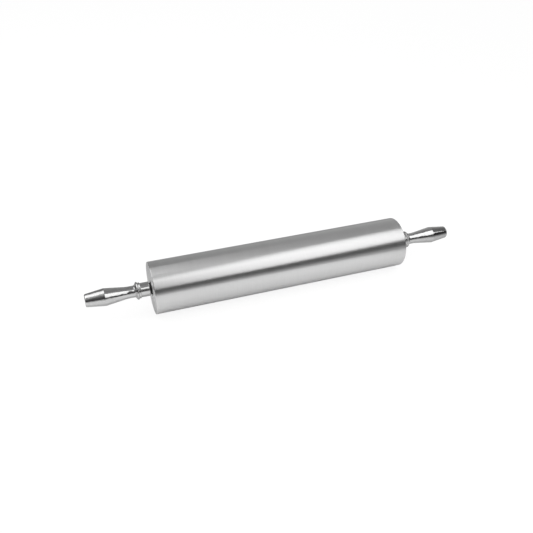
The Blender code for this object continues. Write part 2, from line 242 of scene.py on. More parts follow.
class Shader:
    """The nodes of one material or world."""

    def __init__(self, owner):
        owner.use_nodes = True
        self.tree = owner.node_tree
        self.tree.nodes.clear()

    def node(self, kind, settings, inputs, output=0):
        """Adds a node, with its settings first and then its sockets, and gives one of its outputs."""
        made = self.tree.nodes.new(kind)
        for name, value in settings.items():
            if name == "stops":
                self.stops(made.color_ramp, value)
            else:
                setattr(made, name, value)
        for name, value in inputs.items():
            socket = made.inputs[name]
            if isinstance(value, Value):
                self.tree.links.new(value.socket, socket)
            else:
                socket.default_value = value
        return Value(self, made.outputs[output]) if made.outputs else None

    def stops(self, ramp, stops):
        """Sets a ramp's stops, each a place and a grey level."""
        ramp.interpolation = "LINEAR"
        while len(ramp.elements) < len(stops):
            ramp.elements.new(1)
        for element, (place, level) in zip(ramp.elements, stops):
            element.position = place
            element.color = (level, level, level, 1)

    def math(self, operation, *inputs):
        """A Math node on numbers and values."""
        return self.node("ShaderNodeMath", {"operation": operation}, dict(enumerate(inputs)))

    def ray(self, kind):
        """1 for the rays of one kind, and 0 for the others."""
        return self.node("ShaderNodeLightPath", {}, {}, f"Is {kind} Ray")

    def place(self):
        """The point on the piece in its own frame."""
        return self.node("ShaderNodeTexCoord", {}, {}, "Object")

    def parts(self, vector):
        """A vector's three numbers."""
        first = self.node("ShaderNodeSeparateXYZ", {}, {0: vector})
        return [Value(self, output) for output in first.socket.node.outputs]

    def from_middle(self):
        """How far the point is from the middle of the pin's length."""
        _, _, along = self.parts(self.place())
        return self.math("ABSOLUTE", along)

    def noise(self, vector, scale=1.0, detail=2.0, distortion=0.0):
        """Noise from 0 to 1."""
        return self.node(
            "ShaderNodeTexNoise",
            {},
            {"Vector": vector, "Scale": scale, "Detail": detail, "Distortion": distortion},
            "Fac",
        )

    def grain(self, scale, detail=2.0):
        """Noise that is as long as it is wide, with so many grains to a metre."""
        return self.noise(self.place(), scale, detail)

    def marks(self, run_round, run_along, distortion=0.0):
        """Noise in marks that run this far round the turning axis and this far along it."""
        scale = (1 / run_round, 1 / run_round, 1 / run_along)
        vector = self.node("ShaderNodeVectorMath", {"operation": "MULTIPLY"}, {0: self.place(), 1: scale})
        return self.noise(vector, distortion=distortion)

    def rings(self, radius, width, detail):
        """Noise in rings of this width."""
        return self.node(
            "ShaderNodeTexNoise",
            {"noise_dimensions": "1D"},
            {"W": radius / width, "Detail": detail},
            "Fac",
        )

    def shaded(self, paint, amount):
        """The colour made darker or lighter by an amount that changes over the surface."""
        return self.node(
            "ShaderNodeVectorMath", {"operation": "SCALE"}, {0: tuple(paint), "Scale": amount}
        )

    def grey(self, level):
        """A level as a colour."""
        return self.node("ShaderNodeCombineColor", {}, {channel: level for channel in range(3)})

    def bump(self, height, distance, under=None):
        """A surface normal from a height."""
        inputs = {"Height": height, "Distance": distance}
        if under is not None:
            inputs["Normal"] = under
        return self.node("ShaderNodeBump", {}, inputs)

    def surface(self, **inputs):
        """The material's own shader, with its sockets by name."""
        named = {
            name.replace("_", " ").title().replace("Ior", "IOR"): value for name, value in inputs.items()
        }
        self.out(self.node("ShaderNodeBsdfPrincipled", {}, named))

    def out(self, made, kind="ShaderNodeOutputMaterial"):
        """Joins a shader to the output."""
        self.node(kind, {}, {"Surface": made})


def new_material(name):
    """A material, and its nodes."""
    material = bpy.data.materials.new(name)
    return material, Shader(material)


NOISE_MIDDLE = 0.5


def varied(middle, *swings):
    """A level that noises move. Each swing is a noise and how far it moves the level from end to end."""
    for noise, reach in swings:
        middle = (noise - NOISE_MIDDLE) * reach + middle
    return middle


# Marks left by turning, grinding and polishing: how far they run round a piece and along it
BARREL_HAIR = (0.02, 0.00045)
BARREL_STREAK = (0.06, 0.0022)
BARREL_BAND = (0.2, 0.012)
HANDLE_WAVE = (1 / 150, 1 / 60)
HANDLE_MOTTLE = (1 / 650, 1 / 170)
HANDLE_LINE = (0.00035, 0.014)
STEEL_GRIND = (1 / 60, 1 / 4000)

# Rings left by facing: their widths
FACING_RING = 0.0004
FACING_PASS = 0.004

# Grains to a metre
FACED_PATCHES = 90.0
STEEL_PATCHES = 120.0
BALL_HAZE = 500.0
SPRING_GRAIN = 2500.0
SPRING_BLOTCHES = 180.0
ACETAL_GRAIN = 900.0
RUBBER_GRAIN = 1400.0
NYLON_GRAIN = 700.0
MOULDED_CLOUDS = 150.0

# Heights of the marks, and how high the barrel's hairs stand beside its streaks
BARREL_RELIEF = 0.000006
HAIR_HEIGHT = 0.5
FACED_RELIEF = 0.00001
WAVE_RELIEF = 0.00035
MOTTLE_RELIEF = 0.00006
LINE_RELIEF = 0.000012
GRIND_RELIEF = 0.000006
SPRING_RELIEF = 0.000008
MOULDED_RELIEF = 0.00001

# How far the gloss of turned metal is drawn out, and the quarter turn that draws it across the marks
BARREL_ANISOTROPY = 0.93
FACED_ANISOTROPY = 0.4
ACROSS_MARKS = 0.25

# Where the barrel's smooth rounded edge and its faced end begin, in roundings from its end
EDGE_RISE = (1.3, 0.7)
FACE_RISE = (0.3, 0.1)
EDGE_SMOOTHER = 0.5
FACE_ROUGHER = 0.7
FACE_LESS_METALLIC = 0.25

# How far past its collar a handle is turned smooth, and how uneven it is there beside the grip
SMOOTH_PAST_COLLAR = 0.009
SMOOTH_FADE = 0.006
SMOOTH_UNEVENNESS = 0.4
MOTTLE_DISTORTION = 0.6


def brushed_aluminium():
    """Satin metal, smoothed on a lathe, so its fine marks run round it."""
    material, shader = new_material("brushed_aluminium")
    finish = finishes()
    size = sizes()
    hairs = shader.marks(*BARREL_HAIR)
    streaks = shader.marks(*BARREL_STREAK)
    bands = shader.marks(*BARREL_BAND)
    tone = varied(1, (hairs, 0.06), (streaks, 0.05), (bands, 0.04))
    half = size.barrel_length / 2
    out = shader.from_middle()
    edge = out.ramp(*(half - size.edge_round * roundings for roundings in EDGE_RISE))
    face = out.ramp(*(half - size.edge_round * roundings for roundings in FACE_RISE))
    paler = max(finish.faced_colour) / max(finish.brushed_colour) - 1
    satin = varied(finish.brushed_roughness, (streaks, 0.04), (bands, 0.03))
    shader.surface(
        base_color=shader.shaded(finish.brushed_colour, tone * (1 + face * paler)),
        metallic=varied(0.95, (bands, -0.06)) - face * FACE_LESS_METALLIC,
        roughness=satin * (1 - edge * EDGE_SMOOTHER + face * FACE_ROUGHER),
        anisotropic=BARREL_ANISOTROPY,
        anisotropic_rotation=ACROSS_MARKS,
        normal=shader.bump(hairs * HAIR_HEIGHT + streaks, BARREL_RELIEF),
    )
    return material


def faced_aluminium():
    """Metal faced on a lathe, with fine rings round its middle."""
    material, shader = new_material("faced_aluminium")
    finish = finishes()
    across, up, _ = shader.parts(shader.place())
    radius = (across**2 + up**2) ** 0.5
    rings = shader.rings(radius, FACING_RING, detail=3.0)
    passes = shader.rings(radius, FACING_PASS, detail=1.0)
    patches = shader.grain(FACED_PATCHES)
    shader.surface(
        base_color=shader.shaded(
            finish.faced_colour, varied(1, (rings, 0.16), (passes, 0.30), (patches, 0.08))
        ),
        metallic=varied(0.70, (patches, -0.08)),
        roughness=varied(finish.faced_roughness, (rings, 0.08), (passes, 0.10)),
        anisotropic=FACED_ANISOTROPY,
        anisotropic_rotation=ACROSS_MARKS,
        normal=shader.bump(rings, FACED_RELIEF),
    )
    return material


def polished_aluminium():
    """A turned casting polished by hand, bright but not quite even, and evener round its collar."""
    material, shader = new_material("polished_aluminium")
    finish = finishes()
    size = sizes()
    smooth_end = size.barrel_length / 2 + size.standoff + size.collar_length + SMOOTH_PAST_COLLAR
    grip = shader.from_middle().ramp(smooth_end, smooth_end + SMOOTH_FADE)
    uneven = grip * (1 - SMOOTH_UNEVENNESS) + SMOOTH_UNEVENNESS
    waves = shader.marks(*HANDLE_WAVE) * uneven
    mottles = varied(NOISE_MIDDLE, (shader.marks(*HANDLE_MOTTLE, distortion=MOTTLE_DISTORTION), uneven))
    lines = shader.marks(*HANDLE_LINE)
    wavy = shader.bump(waves, WAVE_RELIEF)
    mottled = shader.bump(mottles, MOTTLE_RELIEF, under=wavy)
    shader.surface(
        base_color=shader.shaded(finish.polished_colour, varied(1, (lines, 0.5), (mottles, 0.5))),
        metallic=1.0,
        roughness=varied(finish.polished_roughness, (lines, 0.10), (mottles, 0.08)),
        normal=shader.bump(lines, LINE_RELIEF, under=mottled),
    )
    return material


def ground_steel():
    """Steel ground round its axis."""
    material, shader = new_material("ground_steel")
    grind = shader.marks(*STEEL_GRIND)
    patches = shader.grain(STEEL_PATCHES)
    shader.surface(
        base_color=shader.shaded(finishes().steel_colour, varied(1, (grind, 0.2), (patches, 0.1))),
        metallic=1.0,
        roughness=varied(0.24, (grind, 0.12)),
        normal=shader.bump(grind, GRIND_RELIEF),
    )
    return material


def ball_steel():
    """Lapped bearing steel, almost a mirror."""
    material, shader = new_material("ball_steel")
    haze = shader.grain(BALL_HAZE)
    shader.surface(
        base_color=shader.shaded(finishes().ball_colour, varied(1, (haze, 0.06))),
        metallic=1.0,
        roughness=varied(0.075, (haze, 0.05)),
    )
    return material


def spring_steel():
    """Dark phosphated spring steel."""
    material, shader = new_material("spring_steel")
    grain = shader.grain(SPRING_GRAIN)
    blotches = shader.grain(SPRING_BLOTCHES)
    shader.surface(
        base_color=shader.shaded(finishes().spring_colour, varied(1, (blotches, 0.5))),
        metallic=1.0,
        roughness=varied(0.45, (grain, 0.18)),
        normal=shader.bump(grain, SPRING_RELIEF),
    )
    return material


def moulded(name, paint, grains, roughness, specular):
    """A rubber or plastic with a moulded grain."""
    material, shader = new_material(name)
    grain = shader.grain(grains, detail=3.0)
    clouds = shader.grain(MOULDED_CLOUDS)
    shader.surface(
        base_color=shader.shaded(paint, varied(1, (clouds, 0.3))),
        roughness=varied(roughness, (grain, 0.14)),
        specular_ior_level=specular,
        normal=shader.bump(grain, MOULDED_RELIEF),
    )
    return material


def rounded(corners, closed):
    """The outline through (along, radius, rounding) corners, with each rounded corner an arc.

    A rounding is held to what its two sides have room for.
    """
    points = []
    count = len(corners)
    for i, (along, radius, rounding) in enumerate(corners):
        here = Vector((along, radius))
        inside = closed or 0 < i < count - 1
        if rounding <= 0 or not inside:
            points.append(here)
            continue
        back = Vector(corners[i - 1][:2]) - here
        on = Vector(corners[(i + 1) % count][:2]) - here
        turn = pi - back.angle(on)
        room = ROUNDING_SHARE * min(back.length, on.length)
        reach = min(rounding * tan(turn / 2), room)
        arc_radius = reach / tan(turn / 2)
        middle = here + (back.normalized() + on.normalized()).normalized() * (arc_radius / cos(turn / 2))
        first = here + back.normalized() * reach - middle
        last = here + on.normalized() * reach - middle
        # Even steps round the arc from its first point to its last
        steps = max(LEAST_STEPS, ceil(turn / (BLEND_STEP if rounding > BLEND_ABOVE else ARC_STEP)))
        for step in range(steps + 1):
            part = step / steps
            points.append(middle + (sin((1 - part) * turn) * first + sin(part * turn) * last) / sin(turn))
    return points


def turned_shape(corners, sides, closed=True):
    """The shape turned about Z from an outline. A closed outline is a ring's section."""
    bm = bmesh.new()
    rows = []
    for along, radius in rounded(corners, closed):
        if radius < ON_AXIS:
            rows.append([bm.verts.new((0, 0, along))] * sides)
            continue
        turns = [2 * pi * side / sides for side in range(sides)]
        rows.append([bm.verts.new((radius * cos(turn), radius * sin(turn), along)) for turn in turns])
    pairs = list(zip(rows, rows[1:]))
    if closed:
        pairs.append((rows[-1], rows[0]))
    for near, far in pairs:
        for side in range(sides):
            following = (side + 1) % sides
            ring = [near[side], near[following], far[following], far[side]]
            face = [vert for at, vert in enumerate(ring) if vert not in ring[:at]]
            if len(face) > 2:
                bm.faces.new(face)
    return bm


def laid(name, bm, material):
    """A piece made of a shape along Z, and laid along the pin."""
    bmesh.ops.recalc_face_normals(bm, faces=bm.faces)
    mesh = bpy.data.meshes.new(name)
    bm.to_mesh(mesh)
    bm.free()
    if material is not None:
        mesh.materials.append(material)
    piece = bpy.data.objects.new(name, mesh)
    piece.matrix_world = ALONG_PIN
    bpy.context.scene.collection.objects.link(piece)
    return piece


def in_order(bm):
    """Sorts a shape's points, edges and faces by where they are, because a carving's own order varies."""
    for parts in (bm.verts, bm.edges, bm.faces):
        placed = sorted(parts, key=lambda part: sorted(vert.co[:] for vert in getattr(part, "verts", [part])))
        for index, part in enumerate(placed):
            part.index = index
        parts.sort()


def carved(piece, bm, operation):
    """Cuts a shape out of the piece or joins one to it, and merges the slivers that this leaves."""
    tool = laid(piece.name + "_tool", bm, None)
    modifier = piece.modifiers.new("carve", "BOOLEAN")
    modifier.operation = operation
    modifier.solver = "EXACT"
    modifier.object = tool
    whole = piece.evaluated_get(bpy.context.evaluated_depsgraph_get())
    mesh = bpy.data.meshes.new_from_object(whole)
    clean = bmesh.new()
    clean.from_mesh(mesh)
    in_order(clean)
    bmesh.ops.remove_doubles(clean, verts=clean.verts, dist=SLIVER)
    bmesh.ops.dissolve_degenerate(clean, edges=clean.edges, dist=SLIVER)
    clean.to_mesh(mesh)
    clean.free()
    piece.modifiers.remove(modifier)
    piece.data = mesh
    bpy.data.objects.remove(tool)


def smoothed(piece):
    """The piece smooth but for its sharp edges."""
    piece.data.shade_smooth()
    piece.data.set_sharp_from_angle(angle=SHARP_ABOVE)
    normals = piece.modifiers.new("even_normals", "WEIGHTED_NORMAL")
    normals.keep_sharp = True
    return piece


def turned(name, corners, sides, material, closed=True):
    """A piece turned from its outline and laid along the pin."""
    return smoothed(laid(name, turned_shape(corners, sides, closed), material))


def stands_for(piece, node, body):
    """The piece takes a CAD node's place and its body."""
    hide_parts(node)
    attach(piece, body)


def outward(side, corners):
    """Corners given by their distance out from the barrel's end face, as places along the pin."""
    half = sizes().barrel_length / 2
    return [(side * (half + out), radius, rounding) for out, radius, rounding in corners]


SIDES = (("left_", -1), ("right_", 1))

# End plugs
PLUG_SEAT_DEPTH = 0.018
PLUG_SEAT_STEP = 0.001
PLUG_RIM_WALL = 0.0045
PLUG_WEB = 0.008
PLUG_HUB_WALL = 0.005
PLUG_FILLET = 0.002
MOUTH_DEPTH = 0.005
MOUTH_RADIUS = 0.013
MOUTH_CHAMFER = 0.0005
CLIP_BACKING = 0.002

# Bearings
BEARING_RADIUS = 0.016
BEARING_WIDTH = 0.010
BORE_RADIUS = 0.006
RING_WALL = 0.001725
RING_ROUND = 0.0005
RACE_DEPTH = 0.0014
RACE_STEPS = 20
BALL_RADIUS = 0.002975
BALL_COUNT = 7
BALL_SPLITS = 4
SEAL_THICKNESS = 0.0006
SEAL_INSET = 0.0002
SEAL_SEAT = 0.001
SEAL_DISH = 0.00015
SEAL_LIP_WIDTH = 0.0009
SEAL_ROUND = 0.0001
CAGE_CLEARANCE = 0.0005
CAGE_FINGER = 0.0016
CAGE_ROUND = 0.0003
CAGE_SIDES = 140
POCKET_SIDES = 48

# Clips
CLIP_BITE = 0.001
CLIP_THICKNESS = 0.0012
CLIP_WIDTH = 0.0026
CLIP_TAPER = 0.2
CLIP_MOUTH = radians(40)
CLIP_STEPS = 96
CLIP_EAR_RADIUS = 0.0019
CLIP_EAR_OVERLAP = 0.001
CLIP_EAR_SIDES = 40
CLIP_HOLE_RADIUS = 0.00075

# Rod
ROD_RADIUS = 0.0075
ROD_EDGE_ROUND = 0.0004
STUD_RADIUS = 0.005
STUD_LENGTH = 0.030
STUD_CHAMFER = 0.001

# Spacers
SPACER_EDGE_ROUND = 0.0003
SPACER_NOSE_WALL = 0.0022
SPACER_NOSE_LENGTH = 0.0022
SPACER_FLANGE_RADIUS = 0.00975

# Handles
SOCKET_SPARE = 0.002
DRILL_POINT = radians(118)
COLLAR_EDGE_ROUND = 0.0011
BEAD_ROUND = 0.0004
BEAD_COVE = 0.0006
BEAD_FALL = 0.0003
GROOVE_DEPTH = 0.0005
GROOVE_WIDTH = 0.0004
CREST_LAND = 0.0008
CREST_FALL = 0.0003
RIDGE_INNER_FLANK = 0.0031
RIDGE_OUTER_FLANK = 0.0042
RIDGE_ROUND = 0.0004
COVE_RADIUS = 0.0022
NECK_BLEND_RADIUS = 0.060
SWELL_ROUND = 0.004


def plug_seat_radius():
    """The radius that the tube is bored to for its plugs."""
    size = sizes()
    return size.barrel_diameter / 2 - size.barrel_wall + PLUG_SEAT_STEP


class ROLLINGPIN_OT_barrel(Operator):
    """Turns the barrel: a thick tube with softly rounded edges, bored out at both ends"""

    bl_idname = "rolling_pin.barrel"
    bl_label = "Barrel"

    def execute(self, context):
        size = sizes()
        half = size.barrel_length / 2
        radius = size.barrel_diameter / 2
        bore = radius - size.barrel_wall
        seat = plug_seat_radius()
        shoulder = half - PLUG_SEAT_DEPTH
        corners = [
            (-half, radius, size.edge_round),
            (half, radius, size.edge_round),
            (half, seat, 0),
            (shoulder, seat, 0),
            (shoulder, bore, 0),
            (-shoulder, bore, 0),
            (-shoulder, seat, 0),
            (-half, seat, 0),
        ]
        barrel = turned("barrel", corners, BARREL_SIDES, brushed_aluminium())
        stands_for(barrel, "barrel_tube", "barrel")
        return {"FINISHED"}


class ROLLINGPIN_OT_end_plugs(Operator):
    """Turns the two plugs that close the barrel and hold the bearings"""

    bl_idname = "rolling_pin.end_plugs"
    bl_label = "End plugs"

    def execute(self, context):
        outside = plug_seat_radius() - SEAT_GAP
        inside_rim = outside - PLUG_RIM_WALL
        seat_bore = BEARING_RADIUS + SEAT_GAP
        groove = seat_bore + CLIP_BITE
        hub = groove + PLUG_HUB_WALL
        rim_end = PLUG_SEAT_DEPTH - SEAT_GAP
        groove_start = MOUTH_DEPTH + SEAT_GAP + BEARING_WIDTH
        groove_end = groove_start + CLIP_THICKNESS + 2 * SEAT_GAP
        hub_end = groove_end + CLIP_BACKING
        corners = [
            (0, MOUTH_RADIUS, MOUTH_CHAMFER),
            (0, outside, 0),
            (-rim_end, outside, 0),
            (-rim_end, inside_rim, 0),
            (-PLUG_WEB, inside_rim, PLUG_FILLET),
            (-PLUG_WEB, hub, PLUG_FILLET),
            (-hub_end, hub, 0),
            (-hub_end, seat_bore, 0),
            (-groove_end, seat_bore, 0),
            (-groove_end, groove, 0),
            (-groove_start, groove, 0),
            (-groove_start, seat_bore, 0),
            (-MOUTH_DEPTH, seat_bore, 0),
            (-MOUTH_DEPTH, MOUTH_RADIUS, 0),
        ]
        material = faced_aluminium()
        for prefix, side in SIDES:
            plug = turned(prefix + "plug", outward(side, corners), BARREL_SIDES, material)
            stands_for(plug, prefix + "end_plug", "barrel")
        return {"FINISHED"}


class ROLLINGPIN_OT_handles(Operator):
    """Turns the two handles, each with a collar, a bead, a ridge, a waisted grip and a flat nose"""

    bl_idname = "rolling_pin.handles"
    bl_label = "Handles"

    def execute(self, context):
        size = sizes()
        collar = size.collar_diameter / 2
        neck = size.neck_diameter / 2
        bead = collar + size.bead_height
        crest = neck + size.ridge_rise + CREST_FALL / 2
        collar_start = size.standoff
        bead_start = collar_start + size.collar_length
        bead_end = bead_start + size.bead_width
        crest_at = bead_end + RIDGE_INNER_FLANK
        neck_start = crest_at + RIDGE_OUTER_FLANK
        taper_start = neck_start + size.neck_length
        swell_at = taper_start + size.taper_length
        tip_at = swell_at + size.nose_length
        socket = STUD_RADIUS + SEAT_GAP
        socket_end = collar_start + STUD_LENGTH + SOCKET_SPARE
        corners = [
            (socket_end + socket / tan(DRILL_POINT / 2), 0, 0),
            (socket_end, socket, 0),
            (collar_start, socket, 0),
            (collar_start, collar, COLLAR_EDGE_ROUND),
            (bead_start - BEAD_COVE, collar, BEAD_COVE),
            (bead_start, bead, BEAD_ROUND),
            (bead_end, bead - BEAD_FALL, BEAD_ROUND),
            (bead_end + GROOVE_WIDTH, bead - BEAD_FALL - GROOVE_DEPTH, 0),
            (crest_at - CREST_LAND, crest, RIDGE_ROUND),
            (crest_at + CREST_LAND, crest - CREST_FALL, RIDGE_ROUND),
            (neck_start, neck, COVE_RADIUS),
            (taper_start, neck, NECK_BLEND_RADIUS),
            (swell_at, size.swell_diameter / 2, SWELL_ROUND),
            (tip_at, size.tip_diameter / 2, size.tip_round),
            (tip_at, 0, 0),
        ]
        material = polished_aluminium()
        for prefix, side in SIDES:
            grip = turned(prefix + "grip", outward(side, corners), HANDLE_SIDES, material, closed=False)
            stands_for(grip, prefix + "handle", "axle")
        return {"FINISHED"}


class ROLLINGPIN_OT_spacers(Operator):
    """Turns the two black sleeves between the bearings and the handles"""

    bl_idname = "rolling_pin.spacers"
    bl_label = "Spacers"

    def execute(self, context):
        nose = BORE_RADIUS + SPACER_NOSE_WALL
        flange_start = MOUTH_DEPTH - SPACER_NOSE_LENGTH
        outer_end = sizes().standoff - SEAT_GAP
        corners = [
            (-MOUTH_DEPTH, BORE_RADIUS, 0),
            (-MOUTH_DEPTH, nose, 0),
            (-flange_start, nose, 0),
            (-flange_start, SPACER_FLANGE_RADIUS, SPACER_EDGE_ROUND),
            (outer_end, SPACER_FLANGE_RADIUS, SPACER_EDGE_ROUND),
            (outer_end, BORE_RADIUS, 0),
        ]
        material = moulded(
            "black_acetal", finishes().acetal_colour, ACETAL_GRAIN, roughness=0.35, specular=0.5
        )
        for prefix, side in SIDES:
            sleeve = turned(prefix + "sleeve", outward(side, corners), RING_SIDES, material)
            stands_for(sleeve, prefix + "spacer", "axle")
        return {"FINISHED"}


# The ball groove, the circle that the balls' centres stand on, the shoulders of the two rings, and the
# depth of the bearing's middle
race_radius = BALL_RADIUS + SEAT_GAP
pitch_radius = BORE_RADIUS + RING_WALL + race_radius
inner_land = pitch_radius - race_radius + RACE_DEPTH
outer_land = pitch_radius + race_radius - RACE_DEPTH
bearing_middle = MOUTH_DEPTH + SEAT_GAP + BEARING_WIDTH / 2


def in_bearing(side, corners):
    """Corners given by their depth from the bearing's middle, as places along the pin."""
    return outward(side, [(-bearing_middle - depth, radius, rounding) for depth, radius, rounding in corners])


def race(direction):
    """Corners of a ball groove: direction is 1 inside the balls and -1 outside them."""
    edge = acos(1 - RACE_DEPTH / race_radius)
    swings = [edge * (1 - 2 * step / RACE_STEPS) for step in range(RACE_STEPS + 1)]
    reach = direction * race_radius
    return [(race_radius * sin(swing), pitch_radius - reach * cos(swing), 0) for swing in swings]


def ball_centres(side):
    """Where the balls of one bearing stand, in a turned piece's own frame."""
    along = side * (sizes().barrel_length / 2 - bearing_middle)
    turns = [2 * pi * number / BALL_COUNT for number in range(BALL_COUNT)]
    return [Vector((-pitch_radius * cos(turn), -pitch_radius * sin(turn), along)) for turn in turns]


class ROLLINGPIN_OT_rod(Operator):
    """Turns the steel rod: a thick middle, a journal through each bearing and a stud in each handle"""

    bl_idname = "rolling_pin.rod"
    bl_label = "Rod"

    def execute(self, context):
        half_length = sizes().barrel_length / 2
        journal = BORE_RADIUS - SEAT_GAP
        shoulder = half_length - bearing_middle - BEARING_WIDTH / 2 - SEAT_GAP
        journal_end = half_length + sizes().standoff - SEAT_GAP
        tip = journal_end + STUD_LENGTH
        half = [
            (shoulder, ROD_RADIUS, ROD_EDGE_ROUND),
            (shoulder, journal, 0),
            (journal_end, journal, ROD_EDGE_ROUND),
            (journal_end, STUD_RADIUS, 0),
            (tip - STUD_CHAMFER, STUD_RADIUS, 0),
            (tip, STUD_RADIUS - STUD_CHAMFER, 0),
            (tip, 0, 0),
        ]
        left = [(-along, radius, rounding) for along, radius, rounding in reversed(half)]
        rod = turned("rod", left + half, RING_SIDES, ground_steel(), closed=False)
        stands_for(rod, "axle_rod", "axle")
        return {"FINISHED"}


class ROLLINGPIN_OT_rings(Operator):
    """Turns the grooved rings and the rubber seals of the two ball bearings"""

    bl_idname = "rolling_pin.rings"
    bl_label = "Rings and seals"

    def execute(self, context):
        half = BEARING_WIDTH / 2
        seat = outer_land + SEAL_SEAT
        floor = half - SEAL_INSET - SEAL_THICKNESS - SEAT_GAP
        inner = [
            (-half, BORE_RADIUS, RING_ROUND),
            (half, BORE_RADIUS, RING_ROUND),
            (half, inner_land, 0),
            *race(1),
            (-half, inner_land, 0),
        ]
        outer = [
            (half, BEARING_RADIUS, RING_ROUND),
            (-half, BEARING_RADIUS, RING_ROUND),
            (-half, seat, 0),
            (-floor, seat, 0),
            (-floor, outer_land, 0),
            *reversed(race(-1)),
            (floor, outer_land, 0),
            (floor, seat, 0),
            (half, seat, 0),
        ]
        face = half - SEAL_INSET
        back = face - SEAL_THICKNESS
        dish = face - SEAL_DISH
        rim = seat - SEAT_GAP
        lip = inner_land + RUNNING_GAP
        seal = [
            (face, lip, SEAL_ROUND),
            (face, lip + SEAL_LIP_WIDTH, 0),
            (dish, lip + SEAL_LIP_WIDTH + SEAL_DISH, 0),
            (dish, rim - SEAL_LIP_WIDTH - SEAL_DISH, 0),
            (face, rim - SEAL_LIP_WIDTH, 0),
            (face, rim, SEAL_ROUND),
            (back, rim, SEAL_ROUND),
            (back, lip, SEAL_ROUND),
        ]
        steel = ground_steel()
        rubber = moulded("seal_rubber", finishes().rubber_colour, RUBBER_GRAIN, roughness=0.55, specular=0.4)
        for prefix, side in SIDES:
            for name, corners, body in (("inner_race", inner, "axle"), ("outer_race", outer, "barrel")):
                ring = turned(prefix + name, in_bearing(side, corners), RING_SIDES, steel)
                stands_for(ring, prefix + name.replace("race", "ring"), body)
            for name, facing in (("outboard_seal", -1), ("inboard_seal", 1)):
                faced = [(facing * depth, radius, rounding) for depth, radius, rounding in seal]
                disc = turned(f"{prefix}{name}_disc", in_bearing(side, faced), RING_SIDES, rubber)
                stands_for(disc, prefix + name, "barrel")
        return {"FINISHED"}


class ROLLINGPIN_OT_balls(Operator):
    """Makes the bearing balls and the crown cages that space them"""

    bl_idname = "rolling_pin.balls"
    bl_label = "Balls and cages"

    def execute(self, context):
        back = BEARING_WIDTH / 2 - SEAL_INSET - SEAL_THICKNESS - RUNNING_GAP
        inside = inner_land + CAGE_CLEARANCE
        outside = outer_land - CAGE_CLEARANCE
        crown = [
            (-back, inside, CAGE_ROUND),
            (-back, outside, CAGE_ROUND),
            (CAGE_FINGER, outside, CAGE_ROUND),
            (CAGE_FINGER, inside, CAGE_ROUND),
        ]
        nylon = moulded("cage_nylon", finishes().nylon_colour, NYLON_GRAIN, roughness=0.5, specular=0.5)
        steel = ball_steel()
        for prefix, side in SIDES:
            centres = ball_centres(side)
            cage = laid(prefix + "crown", turned_shape(in_bearing(side, crown), CAGE_SIDES), nylon)
            pockets = bmesh.new()
            for centre in centres:
                bmesh.ops.create_uvsphere(
                    pockets,
                    u_segments=POCKET_SIDES,
                    v_segments=POCKET_SIDES // 2,
                    radius=race_radius,
                    matrix=Matrix.Translation(centre),
                )
            carved(cage, pockets, "DIFFERENCE")
            stands_for(smoothed(cage), prefix + "cage", prefix + "cage")
            for number, centre in enumerate(centres, start=1):
                bm = bmesh.new()
                bmesh.ops.create_icosphere(
                    bm, subdivisions=BALL_SPLITS, radius=BALL_RADIUS, matrix=Matrix.Translation(centre)
                )
                ball = smoothed(laid(f"{prefix}steel_ball_{number}", bm, steel))
                node = f"{prefix}ball_{number}"
                stands_for(ball, node, node)
        return {"FINISHED"}


class ROLLINGPIN_OT_clips(Operator):
    """Makes the two spring clips that keep the bearings in the plugs"""

    bl_idname = "rolling_pin.clips"
    bl_label = "Clips"

    def arc(self, low, high):
        """An open ring that narrows towards its mouth, from low to high along the pin."""
        outside = BEARING_RADIUS + CLIP_BITE
        bm = bmesh.new()
        rows = []
        for step in range(CLIP_STEPS + 1):
            turn = CLIP_MOUTH / 2 + (2 * pi - CLIP_MOUTH) * step / CLIP_STEPS
            width = CLIP_WIDTH * (1 - CLIP_TAPER * (1 + cos(turn)) / 2)
            inside = outside - width
            section = ((low, outside), (high, outside), (high, inside), (low, inside))
            points = [(-radius * cos(turn), -radius * sin(turn), along) for along, radius in section]
            rows.append([bm.verts.new(point) for point in points])
        for near, far in zip(rows, rows[1:]):
            for at in range(4):
                on = (at + 1) % 4
                bm.faces.new((near[at], near[on], far[on], far[at]))
        bm.faces.new(rows[0])
        bm.faces.new(reversed(rows[-1]))
        return bm

    def bars(self, middle, radius, depth):
        """Two round bars along the pin, one through each ear."""
        centre = BEARING_RADIUS + CLIP_BITE - CLIP_WIDTH - CLIP_EAR_RADIUS + CLIP_EAR_OVERLAP
        turn = CLIP_MOUTH / 2 + CLIP_EAR_RADIUS / centre
        bm = bmesh.new()
        for way in (turn, -turn):
            bmesh.ops.create_cone(
                bm,
                cap_ends=True,
                segments=CLIP_EAR_SIDES,
                radius1=radius,
                radius2=radius,
                depth=depth,
                matrix=Matrix.Translation((-centre * cos(way), -centre * sin(way), middle)),
            )
        return bm

    def execute(self, context):
        material = spring_steel()
        depth = bearing_middle + BEARING_WIDTH / 2 + SEAT_GAP
        for prefix, side in SIDES:
            ends = [side * (sizes().barrel_length / 2 - depth - run) for run in (0, CLIP_THICKNESS)]
            clip = laid(prefix + "clip", self.arc(*ends), material)
            middle = sum(ends) / 2
            carved(clip, self.bars(middle, CLIP_EAR_RADIUS, CLIP_THICKNESS), "UNION")
            carved(clip, self.bars(middle, CLIP_HOLE_RADIUS, 2 * CLIP_THICKNESS), "DIFFERENCE")
            stands_for(smoothed(clip), prefix + "bearing_clip", "barrel")
        return {"FINISHED"}


# The floor: its width, how far it lies below the pin's axis, its tone, how much less of that the camera
# sees, and the glow that makes it white there
FLOOR_SIZE = 6.0
FLOOR_DEPTH = 0.04445
FLOOR_TONE = 0.8
FLOOR_LESS_SEEN = 0.6
FLOOR_GLOW_SEEN = 0.86

